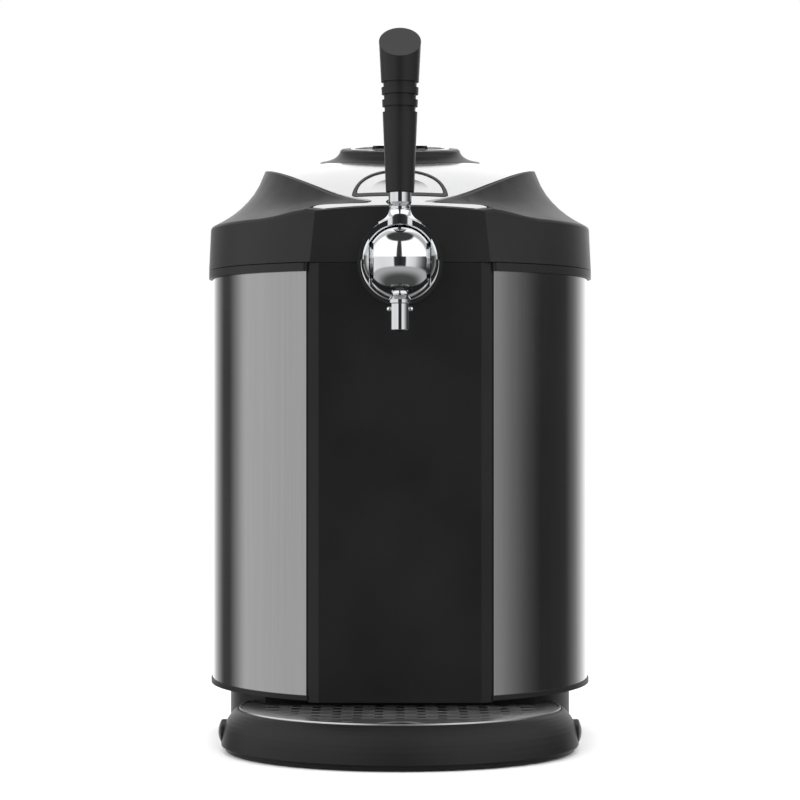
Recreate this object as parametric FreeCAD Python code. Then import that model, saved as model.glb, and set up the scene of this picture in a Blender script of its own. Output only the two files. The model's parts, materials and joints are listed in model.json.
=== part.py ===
import FreeCAD, Part
import math
import os

os.makedirs("parts", exist_ok=True)

# Countertop dispenser for a 5 litre pressurised mini keg.
#
# Frame: +Z up, millimetres. -Y is the front, where the tap and the drip tray are. The object stands on z = 0 and
# the exported pieces are centred on the origin in X and Y. While modelling, the axis of the round body is x = y = 0;
# OY moves every piece to its exported place.

V = FreeCAD.Vector

# ---------------------------------------------------------------- driving dimensions
OY = 15.0            # body axis behind the centre of the footprint

R_BODY = 133.4       # outside of the steel side panels
T_STEEL = 0.8
Y_FLAT = 122.0       # front face in front of the body axis
X_PANEL = 61.2       # half width of the front panel
X_STEEL = 62.3       # where the steel starts beside it
Z_PANEL0 = 34.9
Z_STEEL0 = 38.4
Z_STEEL1 = 322.4
Z_SEAM = 326.9       # seam between the trim band and the top collar
R_LIP = 135.9        # lip over the steel
X_REAR = 72.0        # half width of the rear cover
Y_REAR = 165.0       # back of the rear cover
R_PLINTH = 120.5
Y_PLINTH = 78.0      # front wall of the plinth

R_KEG_BORE = 88.8    # cold chamber, inside
Z_KEG0 = 53.5        # floor of the cold chamber
Z_LINER1 = 346.0

DOME_AXIS_Z = -150.0  # the lid's cross-section arcs are centred here
DOME = [(-132, 357.6), (-122, 364.0), (-107, 371.9), (-85, 384.2), (-54, 397.6), (-20, 404.9), (10, 406.9),
        (40, 405.0), (70, 399.5), (92, 392.5), (140, 370.0)]
SWOOP = [(138, 355.6), (134.5, 357.2), (131.5, 358.7), (129, 360.1), (124.6, 362.5), (118.9, 366.3), (113.8, 370.5),
         (109.3, 375.0), (104.8, 380.5), (101.7, 385.5), (98.5, 391.8), (96.6, 396.4), (95.0, 400.7), (93.9, 405.0),
         (93.1, 410.0), (92.6, 416.0), (92.3, 424.0)]
CORNER_RISE = 5.8    # the collar's edge rises this much to the front corners
T_LID = 3.0
LIP = 1.1            # collar lip round the lid
GAP = 0.8

HINGE_Y, HINGE_Z = 92.0, 387.6

POD_Z, POD_TILT = 414.6, 8.5
R_POD = 42.5

TAP_Y, TAP_Z = -155.0, 326.3   # centre of the tap ball
R_BALL = 23.0
X_BALL = 19.8                   # flat sides of the ball
SPINDLE_R = 5.0

TRAY_CY = -94.0
TRAY_RX, TRAY_RY = 120.4, 101.0
RING_RX = 108.4
Z_GRILLE = 27.6

FAN_Z = 205.0

NODES = []


# ---------------------------------------------------------------- helpers
def save(name, shape):
    s = shape.copy()
    s.translate(V(0, OY, 0))
    solids = s.Solids
    bad = [i for i, q in enumerate(solids) if not q.isValid() or q.Volume <= 0]
    out = solids[0] if len(solids) == 1 else Part.makeCompound(solids)
    out.exportStep("parts/%s.step" % name)
    NODES.append(name)
    b = out.BoundBox
    print("%-22s solids %2d %s vol %10.1f  x %.1f %.1f  y %.1f %.1f  z %.1f %.1f" % (
        name, len(solids), "BAD" + str(bad) if bad else "ok ", out.Volume, b.XMin, b.XMax, b.YMin, b.YMax, b.ZMin, b.ZMax))


def box(x0, x1, y0, y1, z0, z1):
    return Part.makeBox(x1 - x0, y1 - y0, z1 - z0, V(x0, y0, z0))


def cyl(r, z0, z1, x=0.0, y=0.0):
    return Part.makeCylinder(r, z1 - z0, V(x, y, z0))


def cylx(r, x0, x1, y, z):
    return Part.makeCylinder(r, x1 - x0, V(x0, y, z), V(1, 0, 0))


def cyly(r, y0, y1, x, z):
    return Part.makeCylinder(r, y1 - y0, V(x, y0, z), V(0, 1, 0))


def tube(ro, ri, z0, z1, x=0.0, y=0.0):
    return cyl(ro, z0, z1, x, y).cut(cyl(ri, z0 - 1, z1 + 1, x, y))


def lathe(points, at=V(0, 0, 0)):
    """Solid of revolution about Z from a closed polygon of (r, z)."""
    w = Part.makePolygon([V(r, 0, z) for r, z in points] + [V(points[0][0], 0, points[0][1])])
    s = Part.Face(w).revolve(V(0, 0, 0), V(0, 0, 1), 360)
    s = Part.Solid(s.Shells[0]) if s.ShapeType != "Solid" else s
    s.translate(at)
    return s


def lathe_y(points, at=V(0, 0, 0)):
    """Solid of revolution about Y from a closed polygon of (r, y)."""
    w = Part.makePolygon([V(r, y, 0) for r, y in points] + [V(points[0][0], points[0][1], 0)])
    s = Part.Face(w).revolve(V(0, 0, 0), V(0, 1, 0), 360)
    s.translate(at)
    return s


def lathe_curve(curve, rest, at=V(0, 0, 0)):
    """As lathe, but the points in curve are joined by one smooth curve; rest closes the outline with straight lines."""
    bs = Part.BSplineCurve()
    bs.interpolate([V(r, 0, z) for r, z in curve])
    pts = [curve[-1]] + list(rest) + [curve[0]]
    edges = [bs.toShape()] + [Part.makeLine(V(a[0], 0, a[1]), V(b[0], 0, b[1])) for a, b in zip(pts[:-1], pts[1:])]
    s = Part.Face(Part.Wire(edges)).revolve(V(0, 0, 0), V(0, 0, 1), 360)
    s.translate(at)
    return s


def rounded_box(x0, x1, y0, y1, z0, z1, r):
    b = box(x0, x1, y0, y1, z0, z1)
    e = [k for k in b.Edges if abs(k.Vertexes[0].Point.z - k.Vertexes[1].Point.z) > 0.9 * (z1 - z0)]
    return b.makeFillet(r, e)


def try_fillet(shape, r, pick):
    """Fillets the picked edges together, else one by one, and leaves out the ones that can't take it."""
    es = [e for e in shape.Edges if pick(e)]
    if not es:
        return shape
    try:
        s = shape.makeFillet(r, es)
        if s.isValid() and s.Volume > 0:
            return s
    except Exception:
        pass
    return shape


def flat_round(r, yf, z0, z1):
    """Round column with the flat front face at y = -yf."""
    return cyl(r, z0, z1).cut(box(-200, 200, -300, -yf, z0 - 1, z1 + 1))


def ellipse_plate(rx, ry, cy, z0, z1):
    e = Part.Ellipse(V(0, cy, z0), rx, ry)
    return Part.Face(Part.Wire(e.toShape())).extrude(V(0, 0, z1 - z0))


def under_dome(dz):
    """Everything under the lid's outer surface, moved up by dz."""
    bs = Part.BSplineCurve()
    bs.interpolate([V(0, y, z + dz) for y, z in DOME])
    y0, z0 = DOME[0]
    y1, z1 = DOME[-1]
    a, b, c, d = V(0, y0, z0 + dz), V(0, y1, z1 + dz), V(0, y1, 300), V(0, y0, 300)
    f = Part.Face(Part.Wire([bs.toShape(), Part.makeLine(b, c), Part.makeLine(c, d), Part.makeLine(d, a)]))
    f.rotate(V(0, 0, DOME_AXIS_Z), V(0, 1, 0), -20)
    return f.revolve(V(0, 0, DOME_AXIS_Z), V(0, 1, 0), 40)


def half_moon(a, b, y0, z0, z1, r):
    """Upright prism with a straight front edge at y0 and an elliptical back."""
    pts = []
    for i in range(25):
        t = math.pi * i / 24
        pts.append(V(a * math.cos(t), y0 + b * math.sin(t), z0))
    bs = Part.BSplineCurve()
    bs.interpolate(pts)
    f = Part.Face(Part.Wire([bs.toShape(), Part.makeLine(pts[-1], pts[0])]))
    s = f.extrude(V(0, 0, z1 - z0))
    es = [k for k in s.Edges if abs(k.BoundBox.ZLength - (z1 - z0)) < 0.01]
    return s.makeFillet(r, es)


def smooth(t):
    t = max(0.0, min(1.0, t))
    return t * t * (3 - 2 * t)


def swoop_tool(shrink, dz=0.0, rear=0.0):
    """Everything above the collar's concave shoulder, with the shoulder moved inwards by shrink, and by rear more behind."""
    prof = Part.BSplineCurve()
    prof.interpolate([V(r, 0, z) for r, z in SWOOP])
    n = 26
    a, b = prof.FirstParameter, prof.LastParameter
    line = [prof.value(a + (b - a) * j / (n - 1.0)) for j in range(n)]
    grid = []
    steps = 72
    for i in range(steps + 1):
        th = math.pi * (1 + 2.0 * i / steps)    # starts at the front; 0 is the back
        front = 180.0 - abs(180.0 - 360.0 * i / steps)
        g = smooth((46.0 - front) / 24.0)
        row = []
        for p in line:
            w = smooth((p.x - 114.5) / 18.0)
            r = p.x - shrink - rear * smooth((front - 92.0) / 16.0)
            row.append(V(r * math.sin(th), r * math.cos(th), p.z + dz + CORNER_RISE * g * w))
        grid.append(row)
    s = Part.BSplineSurface()
    s.interpolate(grid)
    return s.toShape().extrude(V(0, 0, 120))


def screw(x, y, z, d, r=2.6, length=10.0, head=2.0):
    """Pan head screw with a cross recess; d points from the head into the material."""
    s = Part.makeCylinder(r, head, V(0, 0, 0))
    s = try_fillet(s, 0.7, lambda e: abs(e.BoundBox.ZMin) < 0.01 and abs(e.BoundBox.ZMax) < 0.01)
    s = s.fuse(Part.makeCylinder(r * 0.5, length, V(0, 0, head - 0.01)))
    for a in (0, 90):
        k = box(-r * 0.6, r * 0.6, -0.35, 0.35, -0.1, 1.0)
        k.rotate(V(0, 0, 0), V(0, 0, 1), a)
        s = s.cut(k)
    s.Placement = FreeCAD.Placement(V(x, y, z), FreeCAD.Rotation(V(0, 0, 1), V(*d)))
    return s


# ---------------------------------------------------------------- plinth and bottom
plinth_out = flat_round(R_PLINTH, Y_PLINTH, 2.0, 38.0)
rear_out = rounded_box(-X_REAR, X_REAR, 60, Y_REAR, 2.0, 38.0, 14)
plinth = plinth_out.fuse(rear_out).removeSplitter()
core = flat_round(R_PLINTH - 3, Y_PLINTH - 3, 1.0, 34.5).fuse(
    rounded_box(-X_REAR + 3, X_REAR - 3, 60, Y_REAR - 3, 1.0, 34.5, 11)).removeSplitter()
plinth = plinth.cut(core)
for x, y in ((-88, -50), (88, -50), (-60, 142), (60, 142)):      # screw posts for the bottom cover
    plinth = plinth.fuse(cyl(5, 6.5, 34.6, x, y).cut(cyl(1.5, 5, 24, x, y)))
plinth = plinth.cut(box(-40, 40, 112, 150, 30, 40))              # way up into the rear compartment
# notches that the tray's latches hook into
for sx in (-1, 1):
    plinth = plinth.cut(box(min(sx * 86, sx * 112), max(sx * 86, sx * 112), -68, -58, 8, 18))
save("base_plinth", plinth)

bottom = flat_round(R_PLINTH - 3.4, Y_PLINTH - 3.4, 3.0, 6.0).fuse(
    rounded_box(-X_REAR + 3.4, X_REAR - 3.4, 60, Y_REAR - 3.4, 3.0, 6.0, 10)).removeSplitter()
for i in range(-4, 5):                                           # intake slots under the rear compartment
    bottom = bottom.cut(box(i * 11 - 2, i * 11 + 2, 112, 150, 2, 7))
for x, y in ((-88, -50), (88, -50), (-60, 142), (60, 142)):
    bottom = bottom.cut(cyl(1.8, 2, 7, x, y)).cut(cyl(3.2, 2, 4.6, x, y))
for x, y in ((-78, -36), (78, -36), (-74, 66), (74, 66)):
    bottom = bottom.cut(cyl(4.0, 2, 7, x, y))
save("bottom_cover", bottom)

feet = []
for x, y in ((-78, -36), (78, -36), (-74, 66), (74, 66)):
    f = lathe([(0, 0), (10.5, 0), (11.5, 1.0), (11.5, 3.0), (3.9, 3.0), (3.9, 8.0), (0, 8.0)], V(x, y, 0))
    feet.append(f)
save("rubber_feet", Part.makeCompound(feet))
cover_screws = [screw(x, y, 2.55, (0, 0, 1), 2.9, 9, 2.0) for x, y in ((-88, -50), (88, -50), (-60, 142), (60, 142))]

# ---------------------------------------------------------------- body
housing = flat_round(R_BODY - 1.0, Y_FLAT - 2.2, 38.0, 322.0).cut(flat_round(R_BODY - 4.0, Y_FLAT - 5.2, 41.0, 323.0))
housing = housing.cut(box(-60, 60, 80, 200, 46, 330)).cut(box(-40, 40, 112, 150, 30, 47))
housing = housing.cut(cyly(13, -130, -100, 0, TAP_Z))
for x in (-46, 46):                                              # bosses for the front panel
    housing = housing.fuse(cyly(3.5, -Y_FLAT + 5.0, -Y_FLAT + 13, x, 300)).fuse(cyly(3.5, -Y_FLAT + 5.0, -Y_FLAT + 13, x, 60))
save("main_housing", housing)

panel = flat_round(R_BODY, Y_FLAT, Z_PANEL0, Z_SEAM - 0.3).cut(flat_round(R_BODY - 0.8, Y_FLAT - 2.0, Z_PANEL0 - 1, Z_SEAM + 1))
panel = panel.common(box(-X_PANEL, X_PANEL, -140, -100, 0, 400))
panel = panel.cut(cyly(11.3, -130, -100, 0, TAP_Z))
panel = panel.cut(box(-11.3, 11.3, -130, -100, TAP_Z, 340))
save("front_panel", panel)


def steel(side):
    s = tube(R_BODY, R_BODY - T_STEEL, Z_STEEL0 + 0.2, Z_STEEL1)
    keep = box(0, 150, -118.5, 111.2, 0, 400)
    s = s.common(keep).cut(box(-X_STEEL, X_STEEL, -150, -60, 0, 400))
    # folded front edge
    yf = -math.sqrt((R_BODY - 0.4) ** 2 - X_STEEL ** 2)
    hem = box(X_STEEL, X_STEEL + 0.7, yf - 0.3, yf + 1.0, Z_STEEL0 + 0.2, Z_STEEL1).common(
        cyl(R_BODY, Z_STEEL0, Z_STEEL1)).cut(cyl(R_BODY - 1.0 + 0.05, Z_STEEL0 - 1, Z_STEEL1 + 1))
    s = s.fuse(hem).removeSplitter()
    if side < 0:
        s = s.mirror(V(0, 0, 0), V(1, 0, 0))
    return s


save("side_panel_right", steel(1))
save("side_panel_left", steel(-1))

up = tube(R_LIP, 99, 322.6, Z_SEAM - 0.3)
up = up.fuse(tube(R_LIP, R_BODY + 0.25, 321.2, 322.7)).removeSplitter()
up = up.cut(box(-200, 200, -300, -Y_FLAT + 2.2, 300, 400)).cut(box(-X_PANEL - 0.3, X_PANEL + 0.3, -200, -Y_FLAT + 5.2, 300, 400))
up = up.cut(cyly(15.2, -140, -90, 0, TAP_Z)).cut(box(-60, 60, 96, 200, 300, 323.0))
keep_front = flat_round(R_LIP + 1, Y_FLAT - 2.2, 310, 340)
up = up.common(keep_front)
save("upper_trim_band", up)

lo = tube(R_BODY + 0.9, 117.2, 36.0, 37.9)
lo = lo.fuse(tube(R_BODY + 0.9, R_BODY + 0.15, 37.8, 39.2)).removeSplitter()
lo = lo.cut(box(-X_PANEL - 0.3, X_PANEL + 0.3, -200, -60, 30, 45)).cut(box(-X_REAR - 0.5, X_REAR + 0.5, 60, 200, 30, 45))
lo = lo.cut(cyl(R_PLINTH + 0.15, 30, 45).common(box(-200, 200, -Y_PLINTH - 0.15, 200, 30, 45)))
save("lower_trim_band", lo)

# ---------------------------------------------------------------- top collar and lid
dome0 = under_dome(0)
dome_rec = under_dome(-(T_LID + 0.5))
dome_in = under_dome(-(T_LID + 0.5 + 3.0))
sw0 = swoop_tool(0.0)
sw_rec = swoop_tool(LIP)
sw_lid = swoop_tool(LIP + GAP, 0.0, 1.1)    # clears the collar as the lid swings up

wall = lathe([(0, Z_SEAM), (R_LIP - 0.35, Z_SEAM), (R_LIP, Z_SEAM + 0.35), (134.5, 357.0), (134.4, 372), (134.4, 425), (0, 425)])
wall = wall.cut(box(-200, 200, -300, -Y_FLAT, 300, 430))
outer = wall.common(dome0).cut(sw0)
outer = sorted(outer.Solids, key=lambda q: -q.Volume)[0]
print("collar outer", outer.isValid(), outer.Volume)


def crease(e):
    b = e.BoundBox
    if b.ZMin < 350 or b.ZMax > 368 or e.Length < 8:
        return False
    m = e.valueAt((e.FirstParameter + e.LastParameter) / 2)
    return abs(math.hypot(m.x, m.y) - 134.5) < 0.8


outer_f = try_fillet(outer, 2.4, crease)
if outer_f is outer:
    outer_f = try_fillet(outer, 1.2, crease)
print("collar fillet", outer_f is not outer)

rim = cyl(131, 300, 430).common(box(-200, 200, -(Y_FLAT - LIP), 85.0 + GAP, 300, 430))
recess = rim.cut(dome_rec).cut(sw_rec)
recess = sorted(recess.Solids, key=lambda q: -q.Volume)
recess = [q for q in recess if q.BoundBox.XMin < 5 and q.BoundBox.XMax > -5][0]
collar = outer_f.cut(recess)
# inside: the keg opening, and the hollow under the shoulder
collar = collar.cut(cyl(88.5, 320, 430))
hollow = lathe([(91.0, 320), (R_LIP - 3.2, 320), (131.4, 354.0), (129, 356.6), (124.6, 358.4), (118.9, 361.6), (113.8, 365.5), (109.3, 369.5),
                (104.8, 375), (101.7, 380), (99.5, 384.6), (97.5, 384.6), (97.5, 384.6), (91.0, 384.6)])
hollow = hollow.cut(box(-200, 200, -300, -(Y_FLAT - 3.0), 300, 430)).common(dome_in)
hollow = hollow.cut(box(-40, 40, 80, 140, 372, 430))
inner_ring = tube(91.1, 88.4, 347.2, 386)
collar = collar.cut(hollow)
collar = collar.cut(box(-95, 95, -95, 95, 320, 347.2).common(cyl(95, 320, 347.2)))
# tap shank notch, latch slot, hinge pocket
collar = collar.cut(cyly(11.3, -130, -100, 0, TAP_Z))
collar = collar.cut(box(-9.5, 9.5, -111.2, -96.0, 350, 380))
collar = collar.cut(box(-50.0, 50.0, 78.0, 98.6, 381.5, 430))
collar = collar.cut(half_moon(33.8, 43.2, -107.6, 340, 430, 3.0))
collar = sorted(collar.Solids, key=lambda q: -q.Volume)[0]
save("top_collar", collar)

lid = cyl(130, 300, 430).common(box(-200, 200, -(Y_FLAT - LIP - GAP), 85.0, 300, 430))
lid = lid.common(dome0).cut(under_dome(-T_LID)).cut(sw_lid)
lid = sorted(lid.Solids, key=lambda q: -q.Volume)[0]
print("lid raw", lid.isValid(), lid.Volume)


HM_Y = -106.6
moon_out = half_moon(32.4, 41.6, HM_Y, 340, 430, 3.2)
moon_mid = half_moon(32.1, 41.0, HM_Y + 0.3, 340, 430, 3.1)
moon_in = half_moon(29.4, 34.2, HM_Y + 4.6, 340, 430, 2.4)
moon_btn = half_moon(28.9, 33.3, HM_Y + 5.0, 340, 430, 2.2)
lid = lid.cut(moon_out).cut(cyl(29.3, 380, 430))
# upright edges below the outer face, so that the lid lifts clear of the shoulder
lid = max(sorted(lid.Faces, key=lambda q: -q.Area)[:2], key=lambda q: q.CenterOfMass.z).extrude(V(0, 0, -T_LID))
save("lid_shell", lid)

bez = moon_mid.common(under_dome(0.35)).cut(under_dome(-5.0)).cut(moon_in)
save("lid_button_bezel", bez)

# release button: a half-moon plate with a shallow dish
btn = moon_btn.common(under_dome(-0.4)).cut(under_dome(-5.6))
n = V(0, -math.sin(math.radians(29.5)), math.cos(math.radians(29.5)))
btn = btn.cut(Part.makeSphere(72.0, V(0, -97.5, 377.4) + n * (72.0 - 3.5)))
for x in (-14.0, 14.0):
    btn = btn.cut(cyl(3.2, 370, 381.2, x, -80.0))
btn = sorted(btn.Solids, key=lambda q: -q.Volume)[0]
save("lid_release_button", btn)

# inner lid pan with insulation, and hinge arms
pan_out = cyl(85.6, 374.0, 430).common(under_dome(-(T_LID + 0.35)))
moon_pocket = half_moon(33.0, 42.2, HM_Y - 0.4, 340, 430, 3.0)
pan = pan_out.cut(moon_pocket.cut(under_dome(-9.8)))
foam_in = cyl(83.0, 376.6, 430).common(under_dome(-(T_LID + 3.0)))
foam_cut = half_moon(35.6, 45.2, HM_Y - 1.0, 340, 430, 3.0)
foam_cav = foam_in.cut(foam_cut).cut(box(-40, 40, 74, 100, 370, 430))
pan = pan.cut(foam_cav)
arms = []
for sx in (-1, 1):
    x0, x1 = sorted((sx * 15.0, sx * 33.0))
    barrel = cylx(4.6, x0, x1, HINGE_Y, HINGE_Z)
    web = box(x0, x1, 79.0, HINGE_Y, HINGE_Z - 4.6, HINGE_Z + 1.2).common(under_dome(-(T_LID + 0.35)).fuse(
        box(x0 - 1, x1 + 1, 84.9, HINGE_Y + 1, 370, HINGE_Z + 4.5)))
    arms.append(barrel.fuse(web).cut(cylx(2.05, x0 - 1, x1 + 1, HINGE_Y, HINGE_Z)))
for x in (-14.0, 14.0):                # seats of the springs
    pan = pan.cut(cyl(3.2, 376.0, 400, x, -80.0))
for a in arms:
    pan = pan.fuse(a)
pan = pan.removeSplitter()
pan = sorted(pan.Solids, key=lambda q: -q.Volume)[0]
save("lid_inner_pan", pan)
save("lid_insulation", sorted(cyl(82.7, 376.9, 430).common(under_dome(-(T_LID + 3.3))).cut(half_moon(35.9, 45.5, HM_Y - 1.2, 340, 430, 3.0))
                              .cut(box(-40.3, 40.3, 73.7, 100, 370, 430)).Solids, key=lambda q: -q.Volume)[0])

gasket = lathe([(80.0, 373.9), (80.0, 371.6), (83.5, 371.2), (86.9, 369.8), (87.1, 370.3), (85.9, 373.0), (84.5, 373.9)])
save("lid_gasket", gasket)

pin = cylx(2.0, -35.5, 35.5, HINGE_Y, HINGE_Z)
save("hinge_pin", pin)
brk = cylx(4.6, -13.8, 13.8, HINGE_Y, HINGE_Z).fuse(box(-13.8, 13.8, HINGE_Y - 3.4, HINGE_Y + 6.6, 381.5, HINGE_Z - 2.0))
brk = brk.cut(cylx(2.0, -14, 14, HINGE_Y, HINGE_Z)).removeSplitter()
save("hinge_bracket", brk)

# latch that the button draws back
latch = box(-8.0, 8.0, -107.6, -101.6, 354.5, 365.6).fuse(box(-8.0, 8.0, -113.0, -101.6, 354.5, 361.2)).removeSplitter()
save("lid_latch", latch)

# springs under the button
sp = Part.makeHelix(1.6, 4.3, 2.4)
prof = Part.Wire(Part.makeCircle(0.35, V(2.4, 0, 0), V(0, 1, 0)))
coil = Part.Wire(sp).makePipeShell([prof], True, True)
springs = []
for sx in (-1, 1):
    c = coil.copy()
    c.translate(V(sx * 14.0, -80.0, 376.42))
    springs.append(c)
save("button_springs", Part.makeCompound(springs))

# ---------------------------------------------------------------- control pod on the lid
PT = FreeCAD.Placement(V(0, 0, POD_Z), FreeCAD.Rotation(V(1, 0, 0), POD_TILT))


def pod(shape):
    s = shape.copy()
    s.Placement = PT.multiply(s.Placement)
    return s


flare = [(42.6, -1.0), (43.3, -3.0), (44.9, -5.0), (47.6, -6.9), (51.4, -8.4), (56.6, -9.5)]
sk = lathe_curve(flare, [(56.9, -10.2), (56.9, -30), (30, -30), (30, -2.0), (35.4, -2.0), (35.4, 0), (41.4, 0)])
sk = pod(sk).cut(under_dome(0.15))
sk = sorted(sk.Solids, key=lambda q: -q.Volume)[0]
save("pod_skirt", sk)
ring = lathe([(33.2, -1.8), (35.2, -1.8), (35.2, 0.3), (34.8, 0.7), (33.6, 0.7), (33.2, 0.3)])
save("pod_ring", pod(ring))
BX, BY = 12.0, -14.0                       # the two buttons sit in the front half of the face
face = cyl(33.0, -1.8, -0.2)
face = face.fuse(cyl(29.8, -6.0, -1.7)).removeSplitter()
for x in (-BX, BX):
    face = face.cut(cyl(6.3, -7, 1, x, BY))
face = face.cut(rounded_box(-20.2, 20.2, 6.8, 23.2, -3.0, 1, 3.2))
save("pod_face", pod(face))
disp = rounded_box(-19.6, 19.6, 7.4, 22.6, -2.9, 2.4, 3.0)
disp = try_fillet(disp, 0.6, lambda e: abs(e.BoundBox.ZMin - 2.4) < 0.01)
save("display_window", pod(disp))
for nm, x in (("power_button", -BX), ("cooling_button", BX)):
    b = cyl(6.0, -4.6, 0.75, x, BY)
    b = try_fillet(b, 0.5, lambda e: abs(e.BoundBox.ZMin - 0.75) < 0.01)
    b = b.cut(Part.makeSphere(26, V(x, BY, 0.75 + 25.45)))
    save(nm, pod(b))
pod_board = cyl(27.5, -7.9, -6.4)
save("pod_board", pod(pod_board))

# ---------------------------------------------------------------- tap
flange = lathe_y([(8.05, -122.0), (26.2, -122.0), (26.2, -124.8), (25.85, -125.6), (25.1, -126.0), (15.6, -126.0), (14.0, -127.2),
                  (13.2, -129.4), (12.6, -134.4), (8.05, -134.4)], V(0, 0, TAP_Z))
flange = flange.cut(Part.makeSphere(R_BALL + 0.02, V(0, TAP_Y, TAP_Z)))
save("tap_flange", flange)

gask = cyly(28.3, -Y_FLAT - 1.6, -Y_FLAT, 0, TAP_Z).cut(cyly(26.4, -Y_FLAT - 2, -Y_FLAT + 1, 0, TAP_Z))
save("tap_gasket", gask)

shank = cyly(8.0, -134.5, -101.0, 0, TAP_Z).fuse(cyly(3.4, -101.1, -90.0, 0, TAP_Z))
for yb in (-98.5, -95.0, -91.5):
    cone = Part.makeCone(4.1, 3.2, 2.4, V(0, yb - 1.0, TAP_Z), V(0, 1, 0))
    shank = shank.fuse(cone)
shank = shank.cut(cyly(2.2, -140, -80, 0, TAP_Z)).cut(Part.makeSphere(R_BALL + 0.02, V(0, TAP_Y, TAP_Z))).removeSplitter()
save("tap_shank", shank)

hexp = [V(14.2 * math.cos(math.radians(60 * i)), -116.0, TAP_Z + 14.2 * math.sin(math.radians(60 * i))) for i in range(6)]
nut = Part.Face(Part.makePolygon(hexp + [hexp[0]])).extrude(V(0, 6.5, 0)).cut(cyly(8.05, -130, -100, 0, TAP_Z))
save("shank_nut", nut)

ball = Part.makeSphere(R_BALL, V(0, TAP_Y, TAP_Z)).common(box(-X_BALL, X_BALL, -200, -100, 280, 360))
ball = ball.cut(cylx(SPINDLE_R, -30, 30, TAP_Y, TAP_Z))
ball = ball.cut(cyly(2.2, TAP_Y, -120, 0, TAP_Z)).cut(cyl(3.0, 290, TAP_Z, 0, TAP_Y)).cut(cyl(5.05, 295, 308.5, 0, TAP_Y))
save("tap_ball", ball)

spin = cylx(SPINDLE_R - 0.05, -X_BALL - 2.0, X_BALL + 2.0, TAP_Y, TAP_Z)
port = Part.makeCylinder(2.1, 16, V(0, TAP_Y, TAP_Z), V(0, math.cos(math.radians(55)), math.sin(math.radians(55))))
spin = spin.cut(port)
for x in (-X_BALL - 2.0, X_BALL + 2.0):
    spin = spin.cut(cylx(1.45, x - 8, x + 8, TAP_Y, TAP_Z))
save("valve_spindle", spin)

# yoke: a fork that reaches over the ball, with a round hub each side
arch = Part.makeSphere(27.6, V(0, TAP_Y, TAP_Z)).cut(Part.makeSphere(24.4, V(0, TAP_Y, TAP_Z)))
arch = arch.common(box(-40, 40, TAP_Y - 7.6, TAP_Y + 7.6, TAP_Z + 6, TAP_Z + 40))
band = box(-25.4, 25.4, TAP_Y - 7.6, TAP_Y + 7.6, TAP_Z + 6, TAP_Z + 40)
arch = arch.common(band)
hubs = []
for sx in (-1, 1):
    cap = Part.makeSphere(25.3, V(0, TAP_Y, TAP_Z)).common(
        box(min(sx * (X_BALL + 0.35), sx * 30), max(sx * (X_BALL + 0.35), sx * 30), -200, -100, 280, 360))
    arm = box(min(sx * (X_BALL + 0.35), sx * 25.4), max(sx * (X_BALL + 0.35), sx * 25.4), TAP_Y - 7.6, TAP_Y + 7.6, TAP_Z, TAP_Z + 16)
    arm = arm.common(Part.makeSphere(27.6, V(0, TAP_Y, TAP_Z)))
    hubs.append(cap.fuse(arm))
yoke = arch.fuse(hubs).removeSplitter()
# boss that carries the handle
curve = [(7.4, 32.6), (7.7, 30.4), (8.9, 28.3), (11.2, 26.4), (14.6, 24.4)]
boss = lathe_curve(curve, [(14.6, 18.0), (0, 18.0), (0, 32.6)], V(0, TAP_Y, TAP_Z))
boss = boss.cut(Part.makeSphere(24.4, V(0, TAP_Y, TAP_Z))).common(ellipse_plate(16.2, 8.7, TAP_Y, 300, 400)).common(
    box(-40, 40, TAP_Y - 40, TAP_Y + 7.6, 300, 400))
yoke = yoke.fuse(boss).removeSplitter()
yoke = yoke.cut(cylx(2.2, -30, 30, TAP_Y, TAP_Z)).cut(cyl(3.0, TAP_Z + 20, TAP_Z + 60, 0, TAP_Y))
yoke = yoke.cut(cylx(SPINDLE_R - 0.05, -X_BALL - 2.0, X_BALL + 2.0, TAP_Y, TAP_Z))
for sx in (-1, 1):
    yoke = yoke.cut(cylx(4.2, min(sx * 24.0, sx * 27), max(sx * 24.0, sx * 27), TAP_Y, TAP_Z))
yoke = sorted(yoke.Solids, key=lambda q: -q.Volume)[0]
yk = try_fillet(yoke, 0.5, lambda e: abs(abs(e.CenterOfMass.y - TAP_Y) - 7.6) < 0.05 and e.BoundBox.ZMin > TAP_Z + 5)
save("handle_yoke", yk)
save("spindle_screws", Part.makeCompound([
    cylx(3.6, 24.05, 25.0, TAP_Y, TAP_Z).fuse(cylx(1.4, 15, 24.1, TAP_Y, TAP_Z)).cut(box(24.5, 26, TAP_Y - 4, TAP_Y + 4, TAP_Z - 0.5, TAP_Z + 0.5)),
    cylx(3.6, -25.0, -24.05, TAP_Y, TAP_Z).fuse(cylx(1.4, -24.1, -15, TAP_Y, TAP_Z)).cut(box(-26, -24.5, TAP_Y - 4, TAP_Y + 4, TAP_Z - 0.5, TAP_Z + 0.5))]))

ZN = TAP_Z + 32.6                      # top of the yoke's boss
lock = lathe([(3.0, ZN - 0.0), (6.6, ZN - 0.0), (6.9, ZN + 0.4), (6.9, ZN + 2.0), (6.5, ZN + 2.4), (3.0, ZN + 2.4)], V(0, TAP_Y, 0))
save("handle_lock_nut", lock)
fer = lathe([(3.0, ZN + 2.5), (5.6, ZN + 2.5), (6.9, ZN + 3.3), (7.5, ZN + 4.8), (7.5, ZN + 16.5), (3.0, ZN + 16.5)], V(0, TAP_Y, 0))
save("handle_ferrule", fer)
stud = cyl(2.95, TAP_Z + 25.0, ZN + 44, 0, TAP_Y)
save("handle_stud", stud)

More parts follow.
